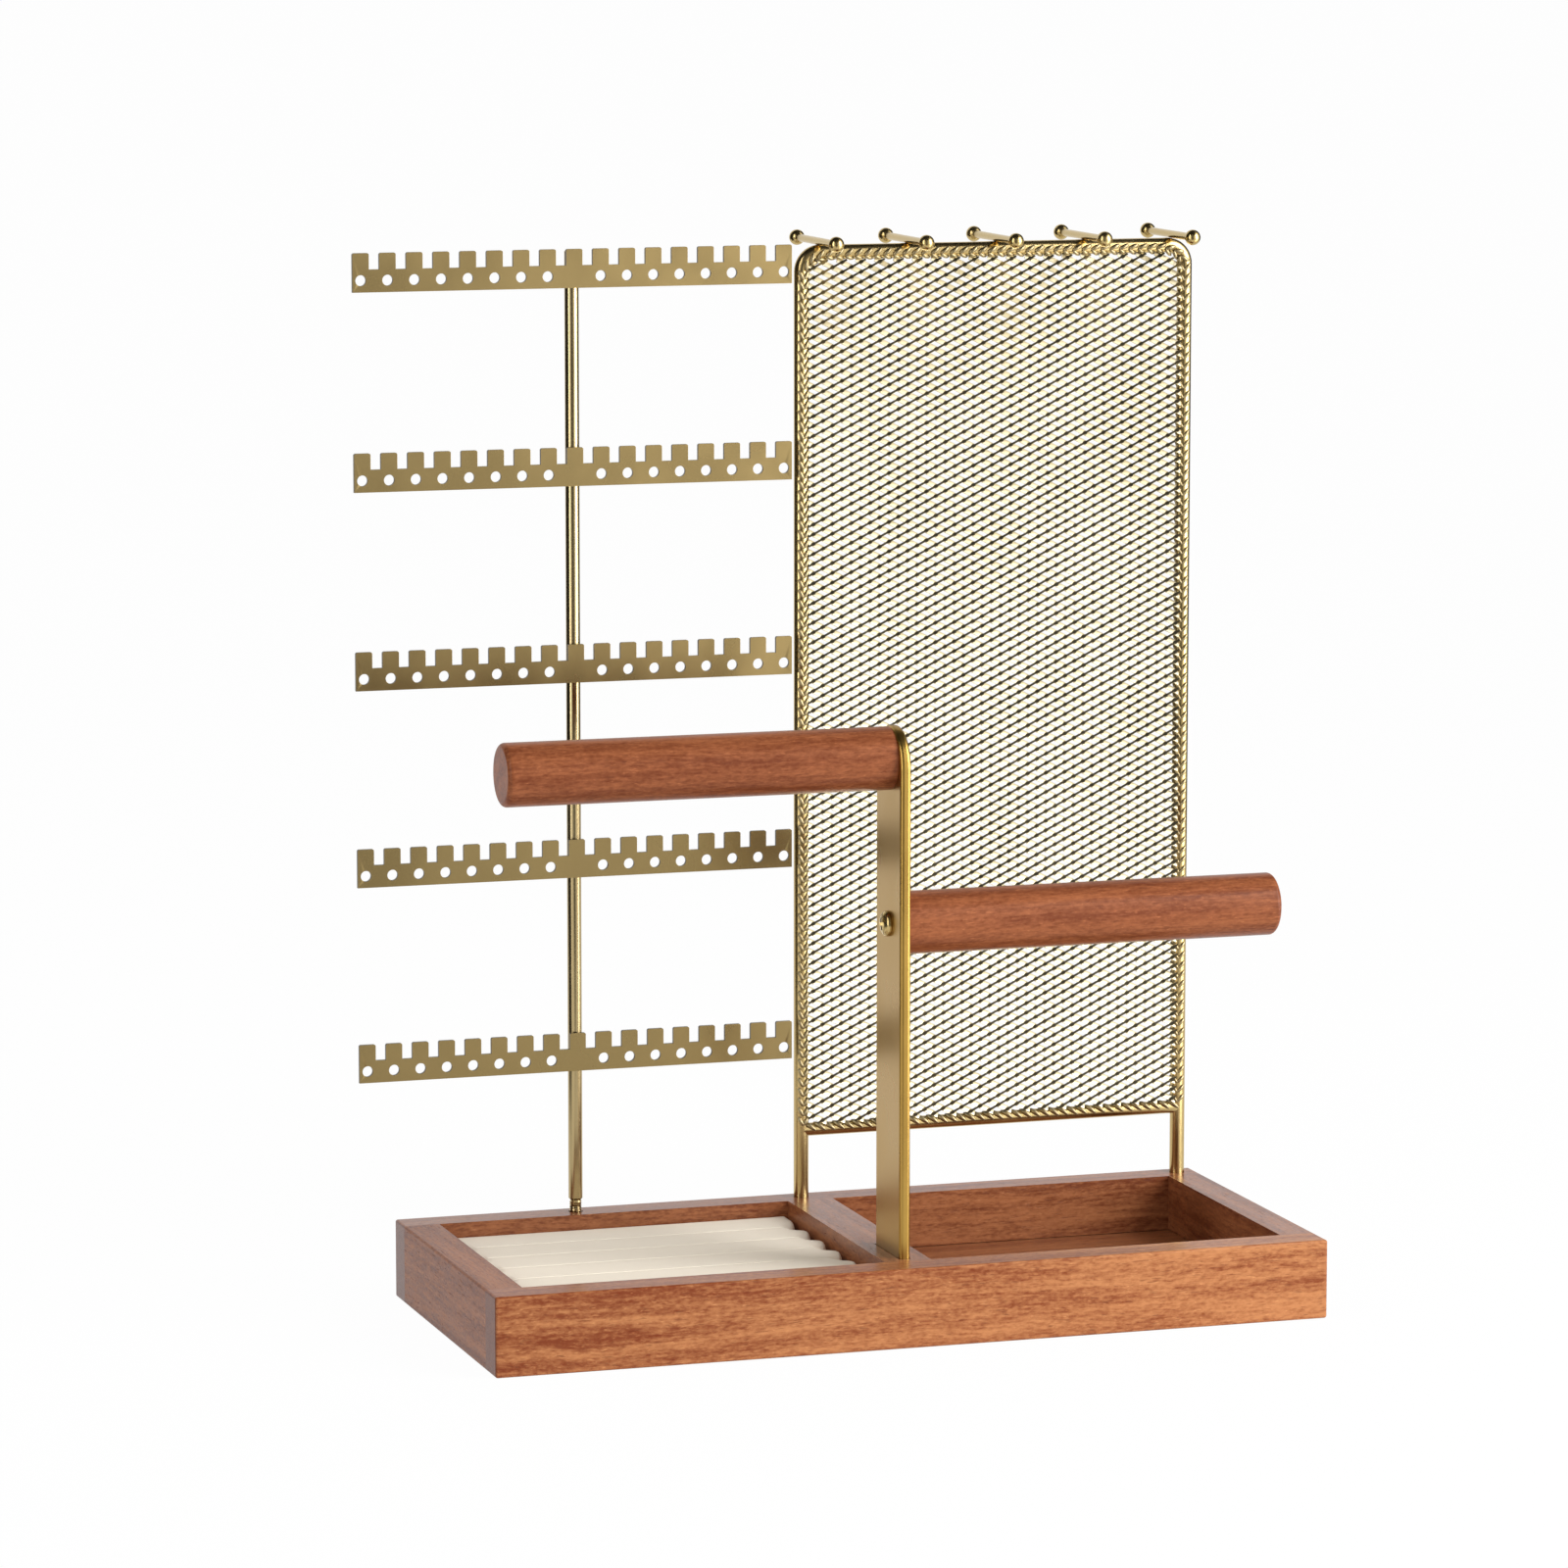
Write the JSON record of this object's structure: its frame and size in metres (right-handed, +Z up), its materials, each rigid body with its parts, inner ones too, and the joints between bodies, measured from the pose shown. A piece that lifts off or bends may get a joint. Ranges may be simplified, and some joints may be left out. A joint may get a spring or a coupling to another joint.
{
  "type": "jewelry stand",
  "caption": "Tabletop jewelry stand: divided wooden tray with a ring pad, a toothed earring rack, a mesh panel with necklace pegs, and bracelet rods on a flat upright.",
  "frame": {"origin": "centre of the tray's underside", "axes": "+Z up, the front of the tray faces -Y, +X to the right seen from the front"},
  "size_m": [0.2835, 0.1367, 0.3355],
  "materials": {
    "stained_wood": "reddish-brown stain under satin lacquer, open grain",
    "floor_board": "thin stained board",
    "gold_metal": "satin gold-coloured steel",
    "brass_screw": "polished brass",
    "steel_screw": "zinc-plated",
    "backing_board": "grey board",
    "velvet": "cream velvet"
  },
  "bodies": {
    "base": {"front_rail": "stained_wood", "rear_rail": "stained_wood", "left_end_rail": "stained_wood", "right_end_rail": "stained_wood", "divider": "stained_wood", "upper_rod": "stained_wood", "lower_rod": "stained_wood", "left_floor": "floor_board", "right_floor": "floor_board", "upright": "gold_metal", "mesh_frame": "gold_metal", "mesh_bottom_bar": "gold_metal", "mesh_panel": "gold_metal", "necklace_peg_1": "gold_metal", "necklace_peg_2": "gold_metal", "necklace_peg_3": "gold_metal", "necklace_peg_4": "gold_metal", "necklace_peg_5": "gold_metal", "rod_screws": "brass_screw", "post_insert": "brass_screw", "foot_screws": "steel_screw", "leg_screws": "steel_screw"},
    "earring_rack": {"earring_post": "gold_metal", "earring_bar_1": "gold_metal", "earring_bar_2": "gold_metal", "earring_bar_3": "gold_metal", "earring_bar_4": "gold_metal", "earring_bar_5": "gold_metal"},
    "ring_pad": {"cushion_board": "backing_board", "ring_cushion": "velvet"}
  },
  "joints": [
    {"name": "rack_swivel", "type": "hinge", "parent": "base", "child": "earring_rack", "pos_m": [-0.077, 0.05425, 0.025], "axis": [0, 0, 1], "range_deg": [0, 180]},
    {"name": "pad_lift", "type": "slide", "parent": "base", "child": "ring_pad", "axis": [0, 0, 1], "range_m": [0, 0.045]}
  ]
}
